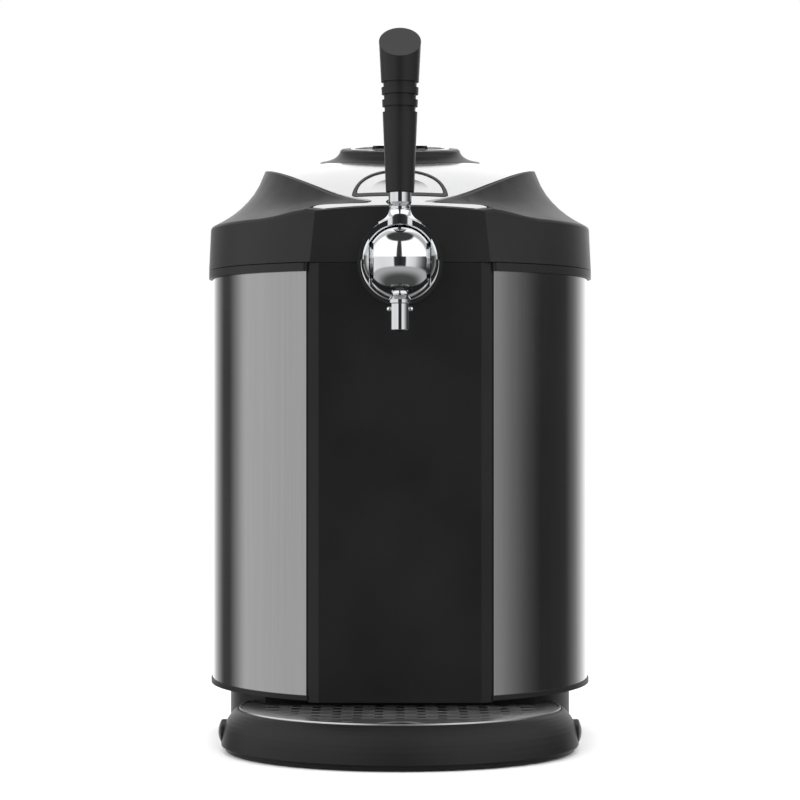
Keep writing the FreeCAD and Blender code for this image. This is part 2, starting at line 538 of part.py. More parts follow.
ZG = 369.9                              # bottom of the grip
prof = [(0, ZG), (8.6, ZG), (9.2, ZG + 0.7)]
gr = lambda z: 9.2 + (z - ZG) * 0.0405 + max(0.0, z - 424.0) * 0.0115
for z0 in (422.0, 429.9, 437.9):
    prof += [(gr(z0), z0), (gr(z0) - 1.35, z0 + 0.05), (gr(z0 + 3.6) - 1.35, z0 + 3.55), (gr(z0 + 3.6), z0 + 3.6)]
prof += [(gr(470), 470.0), (gr(485), 485.0), (0, 485.0)]
grip = lathe(prof, V(0, TAP_Y, 0))
slope = math.radians(39.0)
cutb = box(-40, 40, -60, 60, 0, 60)
cutb.Placement = FreeCAD.Placement(V(0, TAP_Y, 467.6), FreeCAD.Rotation(V(1, 0, 0), 39.0))
grip = grip.cut(cutb)
grip = grip.cut(cyl(2.95, ZG - 1, ZN + 44, 0, TAP_Y)).cut(cyl(7.5, ZG - 1, ZN + 16.5, 0, TAP_Y))
grip = try_fillet(grip, 1.0, lambda e: e.BoundBox.ZMax > 474 and e.BoundBox.ZMin < 460 and e.Length > 60)
save("handle_grip", grip)

# spout
zb = TAP_Z - R_BALL
sc = lathe([(3.0, 308.4), (5.0, 308.4), (5.0, zb + 1.2), (5.3, zb + 0.2), (7.1, 301.0), (7.4, 300.6), (7.4, 298.4), (7.1, 298.0), (3.0, 298.0)], V(0, TAP_Y, 0))
sc = sc.cut(Part.makeSphere(R_BALL + 0.02, V(0, TAP_Y, TAP_Z)).cut(cyl(5.02, 290, 320, 0, TAP_Y)))
save("spout_collar", sorted(sc.Solids, key=lambda q: -q.Volume)[0])
st = lathe([(4.0, 297.9), (6.3, 297.9), (6.3, 281.2), (6.0, 280.8), (4.7, 280.8), (4.7, 292), (4.0, 293)], V(0, TAP_Y, 0))
st = st.cut(cylx(1.75, -12, -3.5, TAP_Y, 294.4)).cut(cylx(1.75, 3.5, 12, TAP_Y, 294.4))
save("spout_tube", st)
pins = []
for sx in (-1, 1):
    p = cylx(1.7, min(sx * 4.8, sx * 7.0), max(sx * 4.8, sx * 7.0), TAP_Y, 294.4).fuse(Part.makeSphere(1.7, V(sx * 7.0, TAP_Y, 294.4)))
    pins.append(p)
save("spout_pins", Part.makeCompound(pins))
nz = lathe([(2.0, 308), (2.95, 308), (2.95, 292.5), (3.9, 291.4), (3.9, 282.0), (2.6, 279.6), (1.8, 279.6), (1.8, 283), (2.0, 290)], V(0, TAP_Y, 0))
save("spout_nozzle", nz)

# ---------------------------------------------------------------- cold chamber
lin = cyl(R_KEG_BORE + 1.4, Z_KEG0 - 1.5, Z_LINER1).cut(cyl(R_KEG_BORE, Z_KEG0, Z_LINER1 + 1))
lin = lin.fuse(tube(94.2, R_KEG_BORE, Z_LINER1 - 1.4, Z_LINER1)).removeSplitter()
lin = lin.cut(box(-8.5, 8.5, -100, -80, TAP_Z, 350)).cut(cyly(8.5, -100, -80, 0, TAP_Z))
save("chamber_liner", lin)
foam = tube(127.5, R_KEG_BORE + 1.7, 41.6, 320.5).fuse(cyl(127.5, 41.6, Z_KEG0 - 1.8))
foam = foam.cut(box(-200, 200, -300, -(Y_FLAT - 5.8), 0, 400)).cut(box(-61, 61, 78, 200, 0, 400)).cut(box(-22, 22, -130, -85, 306, 330))
foam = foam.cut(cyly(4.5, -130, -100, -46, 300)).cut(cyly(4.5, -130, -100, 46, 300)).cut(cyly(4.5, -130, -100, -46, 60)).cut(cyly(4.5, -130, -100, 46, 60))
foam = foam.removeSplitter()
save("insulation_foam", sorted(foam.Solids, key=lambda q: -q.Volume)[0])

# beer line from the shank to the keg coupler
HOSE = [V(0, -99.5, TAP_Z), V(0, -72.0, TAP_Z), V(0, -44.0, 346.0), V(0, -22.5, 353.0)]


def route(points):
    """Straight runs joined by tangent arcs."""
    edges, radii = [], []
    start = points[0]
    for a, b, c in zip(points[:-2], points[1:-1], points[2:]):
        u, w = (a - b).normalize(), (c - b).normalize()
        turn = math.pi - u.getAngle(w)
        la, lc = (a - b).Length, (c - b).Length
        r = 0.45 * min(la, lc) / math.tan(turn / 2)
        t = 0.45 * min(la, lc)
        p, q = b + u * t, b + w * t
        bis = (u + w).normalize()
        centre = b + bis * math.hypot(r, t)
        mid = centre - bis * r
        edges.append(Part.LineSegment(start, p).toShape())
        edges.append(Part.Arc(p, mid, q).toShape())
        radii.append(round(r, 1))
        start = q
    edges.append(Part.LineSegment(start, points[-1]).toShape())
    return Part.Wire(edges), radii


HW, radii = route(HOSE)
print("hose radii", radii, "length", round(HW.Length, 1))
d0 = (HOSE[1] - HOSE[0]).normalize()
hose = HW.makePipeShell([Part.Wire(Part.makeCircle(4.6, HOSE[0], d0))], True, False)
bore = HW.makePipeShell([Part.Wire(Part.makeCircle(3.1, HOSE[0], d0))], True, False)
hose = hose.cut(bore).cut(shank)
hose = sorted(hose.Solids, key=lambda q: -q.Volume)[0]

de = (HOSE[-1] - HOSE[-2]).normalize()
end = HOSE[-1]
coup = lathe([(0, 306.5), (25.5, 306.5), (26.5, 307.5), (26.5, 314.0), (25.5, 315.0), (17.0, 315.6), (14.6, 317.5), (14.2, 338.0), (16.2, 339.0), (16.2, 360.5),
              (15.0, 362.0), (0, 362.0)])
elbow = Part.makeCylinder(6.0, 24.0, end + de * 1.0, de)
coup = coup.fuse(elbow).fuse(Part.makeCylinder(3.0, 14.0, end - de * 9.0, de)).removeSplitter()
for i in range(12):
    g = cyl(1.6, 339.8, 363, 17.0 * math.cos(math.radians(30 * i + 15)), 17.0 * math.sin(math.radians(30 * i + 15)))
    if abs(i * 30 + 15 - 270) > 30:
        coup = coup.cut(g)
coup = coup.cut(cyl(5.0, 300, 330))
hose = hose.cut(coup)
save("beer_line", sorted(hose.Solids, key=lambda q: -q.Volume)[0])
save("keg_coupler", sorted(coup.Solids, key=lambda q: -q.Volume)[0])

# ---------------------------------------------------------------- cooling unit
cb = box(-24, 24, 80, 104, FAN_Z - 24, FAN_Z + 24).cut(cyl(R_KEG_BORE + 1.45, 100, 300))
cb = cb.cut(box(-60, 60, 0, 60, 0, 400))
save("cold_block", cb)
save("peltier_module", box(-20, 20, 104.05, 107.85, FAN_Z - 20, FAN_Z + 20))
hs = box(-50, 50, 107.9, 113.4, FAN_Z - 60, FAN_Z + 60)
for i in range(21):
    x = -49.4 + i * 4.94 - 0.0
    hs = hs.fuse(box(x - 0.6, x + 0.6, 113.3, 134.0, FAN_Z - 60, FAN_Z + 60).common(box(-50, 50, 100, 140, 0, 400)))
hs = hs.removeSplitter()
save("heat_sink", hs)
ff = rounded_box(-46, 46, FAN_Z - 46, FAN_Z + 46, 0, 25, 4)
ff.rotate(V(0, 0, 0), V(1, 0, 0), 90)
ff.translate(V(0, 159.6 - 0.0, 0))
ff = ff.cut(cyly(43.6, 130, 165, 0, FAN_Z))
hubp = cyly(15, 157.4, 159.6, 0, FAN_Z)
for a in (20, 110, 200, 290):
    s = box(0, 45, 157.6, 159.4, -1.6, 1.6)
    s.rotate(V(0, 0, 0), V(0, 1, 0), a)
    s.translate(V(0, 0, FAN_Z))
    hubp = hubp.fuse(s.common(cyly(44.2, 150, 165, 0, FAN_Z)))
ff = ff.fuse(hubp).removeSplitter()
ff = ff.cut(cyly(2.05, 150, 165, 0, FAN_Z))
save("fan_frame", ff)
ro = cyly(15, 139, 156.6, 0, FAN_Z).fuse(cyly(2.0, 156.5, 160.2, 0, FAN_Z))
for i in range(7):
    w1 = Part.makePolygon([V(13, 140.5, -6), V(13, 155.0, 4.0), V(13, 155.9, 2.6), V(13, 142.0, -7.2), V(13, 140.5, -6)])
    w2 = Part.makePolygon([V(42.0, 141.5, -13), V(42.0, 153.5, 11.0), V(42.0, 154.6, 9.8), V(42.0, 143.0, -14.0), V(42.0, 141.5, -13)])
    b = Part.makeLoft([w1, w2], True, True)
    b.rotate(V(0, 0, 0), V(0, 1, 0), i * 360.0 / 7)
    b.translate(V(0, 0, FAN_Z))
    ro = ro.fuse(b)
ro = ro.common(cyly(42.2, 130, 165, 0, FAN_Z)).removeSplitter()
save("fan_rotor", sorted(ro.Solids, key=lambda q: -q.Volume)[0])

pb = box(-44, 34, 118, 119.6, 58, 128)
pb = pb.fuse(box(-36, -8, 119.5, 141, 66, 92)).fuse(cyly(7, 119.5, 139, 6, 74)).fuse(cyly(7, 119.5, 139, 6, 94)).fuse(
    box(16, 26, 119.5, 136, 64, 90)).fuse(box(-36, -14, 119.5, 128, 102, 122)).fuse(cyly(4, 119.5, 131, 4, 114))
pb = pb.fuse(box(-42, -39, 119.5, 124, 60, 126))
save("power_board", pb.removeSplitter())
inl = box(-15, 15, 146, Y_REAR + 0.6, 60, 84)
io = box(-11.5, 11.5, 150, Y_REAR + 2, 63.5, 80.5)
inl = inl.cut(io)
for x, z in ((0, 76), (-6.5, 69.5), (6.5, 69.5)):
    inl = inl.fuse(box(x - 1, x + 1, 149, Y_REAR - 2.5, z - 2, z + 2))
inl.translate(V(44, 0, 0))
save("power_inlet", inl.removeSplitter())

# ---------------------------------------------------------------- rear cover
rc = rounded_box(-X_REAR, X_REAR, 90, Y_REAR, 38.3, Z_STEEL1 - 1.6, 14)
rc = try_fillet(rc, 5.0, lambda e: abs(e.BoundBox.ZMin - (Z_STEEL1 - 1.6)) < 0.01)
ri = rounded_box(-X_REAR + 2.6, X_REAR - 2.6, 80, Y_REAR - 2.6, 30, Z_STEEL1 - 4.4, 11.5)
rc = rc.cut(ri).cut(cyl(R_BODY - 0.6, 0, 400)).cut(cyl(R_LIP + 0.4, 320.9, 400))
for i in range(-6, 7):
    for j in range(11):
        z = FAN_Z - 42 + j * 8.0
        if (i * 7.0) ** 2 + (z + 2 - FAN_Z) ** 2 < 46 ** 2:
            rc = rc.cut(box(i * 7.0 - 2.2, i * 7.0 + 2.2, Y_REAR - 5, Y_REAR + 2, z, z + 5.0))
for j in range(9):
    z = 100 + j * 9.0
    for sx in (-1, 1):
        rc = rc.cut(box(min(sx * 60, sx * 80), max(sx * 60, sx * 80), 136, 150, z + 60, z + 64))
rc = rc.cut(box(44 - 15.1, 44 + 15.1, 150, 170, 59.9, 84.1))
SCR = [(-62, 55), (62, 48), (-62, 180), (62, 180), (-62, 305), (62, 305)]
for x, z in SCR:
    rc = rc.cut(cyly(1.7, 150, 170, x, z)).cut(cyly(3.2, Y_REAR - 1.0, 170, x, z))
rc = sorted(rc.Solids, key=lambda q: -q.Volume)[0]
save("rear_cover", rc)
cover_screws += [screw(x, Y_REAR + 0.9, z, (0, -1, 0), 2.8, 9, 1.9) for x, z in SCR]
save("cover_screws", Part.makeCompound(cover_screws))

# ---------------------------------------------------------------- drip tray
KY = TRAY_RY / TRAY_RX
BZ = 12.0                              # height of the release buttons
BY_T = TRAY_CY + 4.0


def oval_stack(levels):
    """Solid through level ovals, each given as (half width, z)."""
    wires = []
    for r, z in levels:
        e = Part.Ellipse(V(0, TRAY_CY, z), r, r * KY)
        wires.append(Part.Wire(e.toShape()))
    return Part.makeLoft(wires, True, True)


tray = oval_stack([(117.6, 1.0), (118.4, 3.4), (119.9, 3.8), (120.3, 4.6), (119.8, 8.5), (119.1, 12.5), (118.1, 16.5), (116.9, 19.6), (115.3, 22.4),
                   (113.4, 24.9), (111.5, 26.9), (109.9, 28.1), (108.9, 28.5)])
tray = tray.cut(flat_round(R_PLINTH + 0.6, Y_PLINTH + 0.6, -5, 60))
tray = tray.cut(ellipse_plate(RING_RX + 0.5, (RING_RX + 0.5) * KY, TRAY_CY, Z_GRILLE - 0.2, 60))
inside = oval_stack([(97.5, 4.0), (104.0, 12.0), (105.0, Z_GRILLE)])
tray = tray.cut(inside.cut(flat_round(R_PLINTH + 3.6, Y_PLINTH + 3.6, -5, 60)))


def side_oval(sx, x0, a, b, depth):
    e = Part.Ellipse(V(sx * x0, BY_T + a, BZ), V(sx * x0, BY_T, BZ + b), V(sx * x0, BY_T, BZ))
    return Part.Face(Part.Wire(e.toShape())).extrude(V(sx * depth, 0, 0))


for sx in (-1, 1):
    tray = tray.cut(side_oval(sx, 109.0, 15.6, 8.0, 30))
for x, yy in ((-70, -142), (70, -142), (-86, -100), (86, -100)):      # moulded feet
    tray = tray.fuse(cyl(7.0, 0.2, 1.5, x, yy))
tray = sorted(tray.Solids, key=lambda q: -q.Volume)[0]
save("drip_tray", tray)

for sx, nm in ((1, "tray_button_right"), (-1, "tray_button_left")):
    dome = Part.makeSphere(1.0)
    m = FreeCAD.Matrix()
    m.A11, m.A22, m.A33 = 7.6, 19.0, 11.0
    m.A14, m.A24, m.A34 = sx * 115.0, BY_T, BZ
    save(nm, side_oval(sx, 112.0, 15.2, 7.6, 30).common(dome.transformGeometry(m)))

gz0, gz1 = Z_GRILLE, Z_GRILLE + 1.0
gr_out = ellipse_plate(RING_RX - 0.1, (RING_RX - 0.1) * KY, TRAY_CY, gz0, gz1)
lipp = ellipse_plate(RING_RX - 0.1, (RING_RX - 0.1) * KY, TRAY_CY, gz0, gz1 + 0.9).cut(
    ellipse_plate(RING_RX - 1.3, (RING_RX - 0.1) * KY - 1.2, TRAY_CY, gz0 - 1, gz1 + 5))
gr = gr_out.fuse(lipp)
cutback = flat_round(R_PLINTH + 1.2, Y_PLINTH + 1.2, -5, 60)
gr = gr.cut(cutback)
slots = []
row = 0
y = -90.0
while y > -172:
    half = 92.0 * math.sqrt(max(0.0, 1 - ((y - TRAY_CY) / 80.0) ** 2)) if y < TRAY_CY else 92.0
    shift = 0.0 if row % 2 == 0 else 14.0
    L, web = 23.0, 5.0
    k = -5
    while k < 6:
        a0 = k * (L + web) + shift - L / 2
        a1 = a0 + L
        a0c, a1c = max(a0, -half), min(a1, half)
        if a1c - a0c > 7.0 and not (y < -158 and abs((a0c + a1c) / 2) < 34 and min(abs(a0c), abs(a1c)) < 24):
            s = box(a0c + 1.6, a1c - 1.6, y - 1.6, y + 1.6, gz0 - 1, gz1 + 0.6)
            s = s.fuse(cyl(1.6, gz0 - 1, gz1 + 0.6, a0c + 1.6, y)).fuse(cyl(1.6, gz0 - 1, gz1 + 0.6, a1c - 1.6, y))
            slots.append(s)
        k += 1
    y -= 7.0
    row += 1
gr = gr.cut(Part.makeCompound(slots))
# finger notch at the front
notch = cyl(19.0, gz0 - 1, gz1 + 3, 0, TRAY_CY - (RING_RX - 0.1) * KY)
gr = gr.cut(notch.common(ellipse_plate(RING_RX - 1.4, (RING_RX - 0.1) * KY - 1.3, TRAY_CY, gz0 - 2, gz1 + 4)))
gr = sorted(gr.Solids, key=lambda q: -q.Volume)[0]
save("drip_grille", gr)

print(len(NODES), "nodes")
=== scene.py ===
import math
import json

import bpy
import bmesh
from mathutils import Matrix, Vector, noise

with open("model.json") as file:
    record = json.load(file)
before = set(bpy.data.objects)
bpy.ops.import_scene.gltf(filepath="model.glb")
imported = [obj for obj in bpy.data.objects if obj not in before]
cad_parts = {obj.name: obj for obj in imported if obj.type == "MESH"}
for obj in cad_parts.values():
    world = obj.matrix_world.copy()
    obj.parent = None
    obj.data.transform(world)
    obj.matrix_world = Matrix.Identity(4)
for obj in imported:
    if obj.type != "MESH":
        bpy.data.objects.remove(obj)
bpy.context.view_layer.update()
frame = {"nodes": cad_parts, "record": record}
NODES = frame["nodes"]
scene = bpy.context.scene

# ---------------------------------------------------------------- measures, in mm, from the axis of the round body
OY = 15.0


def P(x, y, z):
    """A point given in mm from the body's axis, in the frame's metres."""
    return Vector((x / 1000.0, (y + OY) / 1000.0, z / 1000.0))


# ---------------------------------------------------------------- camera
cam = bpy.data.cameras.new("camera")
cam.lens = 105.84
cam.sensor_width = 36.0
cam.clip_start = 0.05
cam.clip_end = 50.0
cam_ob = bpy.data.objects.new("camera", cam)
cam_ob.location = (0.0, -1.665, 0.2355)
cam_ob.rotation_euler = (math.radians(90.0), 0.0, 0.0)
scene.collection.objects.link(cam_ob)
scene.camera = cam_ob
scene.view_settings.view_transform = "Standard"
scene.view_settings.look = "None"


# ---------------------------------------------------------------- node helpers
class Mat:
    """A small builder for procedural materials."""

    def __init__(self, name):
        self.m = bpy.data.materials.new(name)
        self.m.use_nodes = True
        self.t = self.m.node_tree
        self.t.nodes.clear()
        self.out = self.t.nodes.new("ShaderNodeOutputMaterial")
        self.b = self.t.nodes.new("ShaderNodeBsdfPrincipled")
        self.t.links.new(self.b.outputs[0], self.out.inputs[0])
        self.co = self.t.nodes.new("ShaderNodeTexCoord").outputs["Object"]

    def set(self, **kw):
        for k, v in kw.items():
            k = k.replace("_", " ")
            for s in self.b.inputs:
                if s.name.lower() == k:
                    s.default_value = (tuple(v) + (1.0,)) if isinstance(v, (tuple, list)) and len(v) == 3 else v
        return self

    def scaled(self, sx, sy, sz):
        n = self.t.nodes.new("ShaderNodeMapping")
        n.inputs["Scale"].default_value = (sx, sy, sz)
        self.t.links.new(self.co, n.inputs["Vector"])
        return n.outputs[0]

    def noise(self, vec, scale, detail=3.0, rough=0.5, distortion=0.0):
        n = self.t.nodes.new("ShaderNodeTexNoise")
        n.inputs["Scale"].default_value = scale
        n.inputs["Detail"].default_value = detail
        n.inputs["Roughness"].default_value = rough
        n.inputs["Distortion"].default_value = distortion
        self.t.links.new(vec, n.inputs["Vector"])
        return n.outputs["Fac"]

    def voronoi(self, vec, scale):
        n = self.t.nodes.new("ShaderNodeTexVoronoi")
        n.inputs["Scale"].default_value = scale
        self.t.links.new(vec, n.inputs["Vector"])
        return n.outputs["Distance"]

    def span(self, fac, lo, hi, a=0.3, b=0.7):
        n = self.t.nodes.new("ShaderNodeMapRange")
        n.inputs["From Min"].default_value = a
        n.inputs["From Max"].default_value = b
        n.inputs["To Min"].default_value = lo
        n.inputs["To Max"].default_value = hi
        self.t.links.new(fac, n.inputs["Value"])
        return n.outputs["Result"]

    def ramp(self, fac, stops):
        n = self.t.nodes.new("ShaderNodeValToRGB")
        e = n.color_ramp.elements
        while len(e) > 1:
            e.remove(e[-1])
        e[0].position, e[0].color = stops[0][0], tuple(stops[0][1]) + (1.0,)
        for p, c in stops[1:]:
            k = e.new(p)
            k.color = tuple(c) + (1.0,)
        self.t.links.new(fac, n.inputs["Fac"])
        return n.outputs["Color"]

    def math(self, op, a, b=None):
        n = self.t.nodes.new("ShaderNodeMath")
        n.operation = op
        for i, v in enumerate((a, b)):
            if v is None:
                continue
            if isinstance(v, (int, float)):
                n.inputs[i].default_value = v
            else:
                self.t.links.new(v, n.inputs[i])
        return n.outputs[0]

    def link(self, socket, name):
        self.t.links.new(socket, self.b.inputs[name])
        return self

    def bump(self, height, strength=0.1, distance=0.0002, below=None):
        n = self.t.nodes.new("ShaderNodeBump")
        n.inputs["Strength"].default_value = strength
        n.inputs["Distance"].default_value = distance
        self.t.links.new(height, n.inputs["Height"])
        if below is not None:
            self.t.links.new(below, n.inputs["Normal"])
        self.t.links.new(n.outputs[0], self.b.inputs["Normal"])
        return n.outputs[0]


def moulded(name, dark, light, rough=(0.38, 0.5), grain=2600.0, depth=0.00006, strength=0.25, spec=0.5):
    """Moulded plastic: a fine spark-eroded grain, a slow drift in gloss, and a slightly uneven tone."""
    m = Mat(name)
    slow = m.noise(m.scaled(1, 1, 1), 14.0, 2.0)
    fine = m.noise(m.scaled(1, 1, 1), grain, 2.0, 0.6)
    m.link(m.ramp(slow, [(0.3, dark), (0.7, light)]), "Base Color")
    m.link(m.math("ADD", m.span(slow, rough[0], rough[1]), m.span(fine, -0.03, 0.03)), "Roughness")
    m.bump(fine, strength, depth)
    m.set(specular_ior_level=spec)
    return m.m


def chrome(name, tint=(0.86, 0.87, 0.88), rough=(0.03, 0.07)):
    m = Mat(name)
    haze = m.noise(m.scaled(1, 1, 1), 60.0, 4.0, 0.6)
    micro = m.noise(m.scaled(1, 1, 1), 900.0, 2.0)
    m.set(metallic=1.0)
    m.link(m.ramp(haze, [(0.35, tuple(c * 0.97 for c in tint)), (0.65, tint)]), "Base Color")
    m.link(m.span(haze, rough[0], rough[1]), "Roughness")
    m.bump(micro, 0.04, 0.00002)
    return m.m


def brushed(name, lo, hi, rough, axis="Z", stretch=60.0, scale=900.0, strength=0.15):
    """Metal with a brush or drawing direction along one axis."""
    m = Mat(name)
    s = {"X": (1.0 / stretch, 1, 1), "Y": (1, 1.0 / stretch, 1), "Z": (1, 1, 1.0 / stretch)}[axis]
    v = m.scaled(*s)
    lines = m.noise(v, scale, 4.0, 0.65)
    broad = m.noise(v, scale / 9.0, 3.0, 0.6)
    slow = m.noise(m.scaled(1, 1, 1), 9.0, 2.0)
    mix = m.math("ADD", m.math("MULTIPLY", lines, 0.6), m.math("MULTIPLY", broad, 0.4))
    m.set(metallic=1.0)
    m.link(m.ramp(mix, [(0.32, lo), (0.68, hi)]), "Base Color")
    m.link(m.math("ADD", m.span(mix, rough[0], rough[1], 0.35, 0.65), m.span(slow, -0.02, 0.03)), "Roughness")
    m.bump(lines, strength, 0.00003)
    return m.m


def silver(name, lo, hi, rough):
    """Metallic lacquer: fine flakes under a clear satin coat."""
    m = Mat(name)
    flake = m.voronoi(m.scaled(1, 1, 1), 2600.0)
    slow = m.noise(m.scaled(1, 1, 1), 12.0, 2.0)
    peel = m.noise(m.scaled(1, 1, 1), 420.0, 2.0)
    m.set(metallic=0.95, coat_weight=0.25, coat_roughness=0.15)
    m.link(m.ramp(flake, [(0.1, hi), (0.8, lo)]), "Base Color")
    m.link(m.math("ADD", m.span(slow, rough[0], rough[1]), m.span(flake, -0.02, 0.03, 0.1, 0.7)), "Roughness")
    m.bump(peel, 0.06, 0.00004)
    return m.m


# ---------------------------------------------------------------- materials
M = {}
M["black_plastic"] = moulded("black_plastic", (0.007, 0.007, 0.0073), (0.010, 0.010, 0.0105), (0.38, 0.48), spec=0.20)
M["collar_black"] = moulded("collar_black", (0.008, 0.008, 0.0083), (0.011, 0.011, 0.0115), (0.38, 0.48), 3000.0, spec=0.24)
M["front_black"] = moulded("front_black", (0.006, 0.006, 0.0063), (0.009, 0.009, 0.0093), (0.36, 0.44), 3200.0, 0.00004, 0.15, 0.20)
M["deep_black"] = moulded("deep_black", (0.005, 0.005, 0.0053), (0.008, 0.008, 0.0083), (0.32, 0.42), 3000.0, spec=0.3)
M["handle_black"] = moulded("handle_black", (0.006, 0.006, 0.0063), (0.009, 0.009, 0.0093), (0.38, 0.46), 3600.0, 0.00004, 0.2, 0.26)
M["rubber"] = moulded("rubber", (0.010, 0.010, 0.010), (0.018, 0.018, 0.018), (0.7, 0.85), 1500.0, 0.0001, 0.35, 0.25)
M["inner_grey"] = moulded("inner_grey", (0.50, 0.50, 0.51), (0.56, 0.56, 0.57), (0.35, 0.45))
M["ceramic"] = moulded("ceramic", (0.80, 0.79, 0.75), (0.88, 0.87, 0.84), (0.3, 0.45), 2200.0)
M["hose"] = moulded("hose", (0.52, 0.50, 0.42), (0.62, 0.60, 0.52), (0.25, 0.35), 900.0, 0.00004, 0.1)
M["chrome"] = chrome("chrome", (0.74, 0.75, 0.76))
M["dark_steel"] = brushed("dark_steel", (0.345, 0.34, 0.345), (0.385, 0.38, 0.385), (0.10, 0.15), "Z", 90.0, 900.0, 0.03)
M["turned_steel"] = brushed("turned_steel", (0.50, 0.50, 0.51), (0.62, 0.62, 0.63), (0.16, 0.24), "Z", 25.0, 1600.0, 0.08)
M["aluminium"] = brushed("aluminium", (0.66, 0.67, 0.68), (0.8, 0.8, 0.81), (0.3, 0.42), "Z", 30.0, 900.0)
M["plate"] = brushed("plate", (0.70, 0.70, 0.71), (0.80, 0.80, 0.81), (0.30, 0.36), "X", 60.0, 1300.0, 0.03)
M["silver"] = silver("silver", (0.42, 0.42, 0.425), (0.54, 0.54, 0.55), (0.15, 0.21))
M["dark_screw"] = brushed("dark_screw", (0.05, 0.05, 0.05), (0.09, 0.09, 0.09), (0.35, 0.45), "X", 6.0, 1500.0)

m = Mat("window")
m.link(m.ramp(m.noise(m.scaled(1, 1, 1), 30.0, 2.0), [(0.3, (0.006, 0.007, 0.008)), (0.7, (0.010, 0.010, 0.012))]), "Base Color")
m.link(m.span(m.noise(m.scaled(1, 1, 1), 220.0, 3.0), 0.05, 0.10), "Roughness")
m.set(coat_weight=0.6, coat_roughness=0.04)
M["window"] = m.m

m = Mat("foam")
cell = m.voronoi(m.scaled(1, 1, 1), 700.0)
m.link(m.ramp(cell, [(0.1, (0.78, 0.74, 0.62)), (0.8, (0.62, 0.57, 0.45))]), "Base Color")
m.link(m.span(cell, 0.8, 0.95), "Roughness")
m.bump(cell, 0.5, 0.0004)
M["foam"] = m.m

m = Mat("board")
trace = m.noise(m.scaled(1, 1, 1), 160.0, 1.0, 0.4, 2.0)
m.link(m.ramp(trace, [(0.46, (0.01, 0.10, 0.04)), (0.52, (0.02, 0.16, 0.07))]), "Base Color")
m.link(m.span(trace, 0.3, 0.45), "Roughness")
m.bump(trace, 0.2, 0.0001)
M["board"] = m.m

BY_SLOT = {"black_plastic": "black_plastic", "front_black": "front_black", "handle_black": "handle_black", "dark_steel": "dark_steel",
           "silver_paint": "silver", "soft_rubber": "rubber", "dark_screws": "dark_screw", "inner_plastic": "inner_grey", "foam": "foam",
           "bright_steel": "turned_steel", "chrome_trim": "chrome", "smoked_window": "window", "circuit_board": "board",
           "inner_metal": "aluminium", "white_ceramic": "ceramic", "hose": "hose", "polished_plate": "plate"}
SLOT_OF = {s["node"]: s["material_slot"] for s in frame["record"]["subparts"]}
BY_NODE = {"top_collar": "collar_black", "upper_trim_band": "collar_black", "tray_button_left": "deep_black", "tray_button_right": "deep_black",
           "spout_nozzle": "deep_black"}


def paint(ob, mat):
    if not ob.data.materials:
        ob.data.materials.append(mat)
    for i in range(len(ob.data.materials)):
        ob.data.materials[i] = mat


for name, ob in NODES.items():
    paint(ob, M[BY_NODE.get(name) or BY_SLOT[SLOT_OF[name]]])

# ---------------------------------------------------------------- floor and light
fl = bpy.data.meshes.new("studio_floor")
bm = bmesh.new()
bmesh.ops.create_grid(bm, x_segments=8, y_segments=8, size=9.0)
bm.to_mesh(fl)
bm.free()
floor = bpy.data.objects.new("studio_floor", fl)
scene.collection.objects.link(floor)
fm = Mat("floor_white")
fm.link(fm.ramp(fm.noise(fm.scaled(1, 1, 1), 3.0, 3.0), [(0.3, (0.90, 0.90, 0.905)), (0.7, (0.925, 0.925, 0.925))]), "Base Color")
fm.set(roughness=0.6, specular_ior_level=0.2)
ln = fm.t.nodes.new("ShaderNodeVectorMath")
ln.operation = "LENGTH"
fm.t.links.new(fm.co, ln.inputs[0])
far = fm.span(ln.outputs["Value"], 0.0, 1.0, 0.32, 0.75)
glow = fm.t.nodes.new("ShaderNodeEmission")
glow.inputs["Strength"].default_value = 1.0
mixf = fm.t.nodes.new("ShaderNodeMixShader")
fm.t.links.new(far, mixf.inputs[0])
fm.t.links.new(fm.b.outputs[0], mixf.inputs[1])
fm.t.links.new(glow.outputs[0], mixf.inputs[2])
fm.t.links.new(mixf.outputs[0], fm.out.inputs[0])
fl.materials.append(fm.m)
floor.visible_glossy = False


def softbox(name, loc, target, sx, sy, power, glossy=False):
    li = bpy.data.lights.new(name, "AREA")
    li.shape = "RECTANGLE"
    li.size, li.size_y = sx, sy
    li.energy = power
    ob = bpy.data.objects.new(name, li)
    ob.location = loc
    ob.rotation_euler = (Vector(target) - Vector(loc)).to_track_quat("-Z", "Y").to_euler()
    ob.visible_glossy = glossy
    scene.collection.objects.link(ob)
    return ob


softbox("key_left", (-1.5, -1.1, 1.1), (0, 0, 0.25), 1.1, 1.4, 17.0)
softbox("key_right", (1.6, -0.7, 0.9), (0, 0, 0.25), 1.0, 1.4, 12.0)
softbox("top", (0.0, 0.15, 1.9), (0, 0, 0.3), 1.6, 1.2, 16.0)
softbox("back", (0.0, 1.9, 1.1), (0, 0, 0.25), 2.0, 1.0, 16.0)

# studio surroundings, as a round of panels: the value runs with the direction around the object
w = bpy.data.worlds.new("studio")
scene.world = w
w.use_nodes = True
t = w.node_tree
t.nodes.clear()


def wn(kind, **kw):
    n = t.nodes.new(kind)
    for k, v in kw.items():
        setattr(n, k, v)
    return n


def wmath(op, a, b=None):
    n = wn("ShaderNodeMath", operation=op)
    for i, v in enumerate((a, b)):
        if v is None:
            continue
        if isinstance(v, (int, float)):
            n.inputs[i].default_value = v
        else:
            t.links.new(v, n.inputs[i])
    return n.outputs[0]


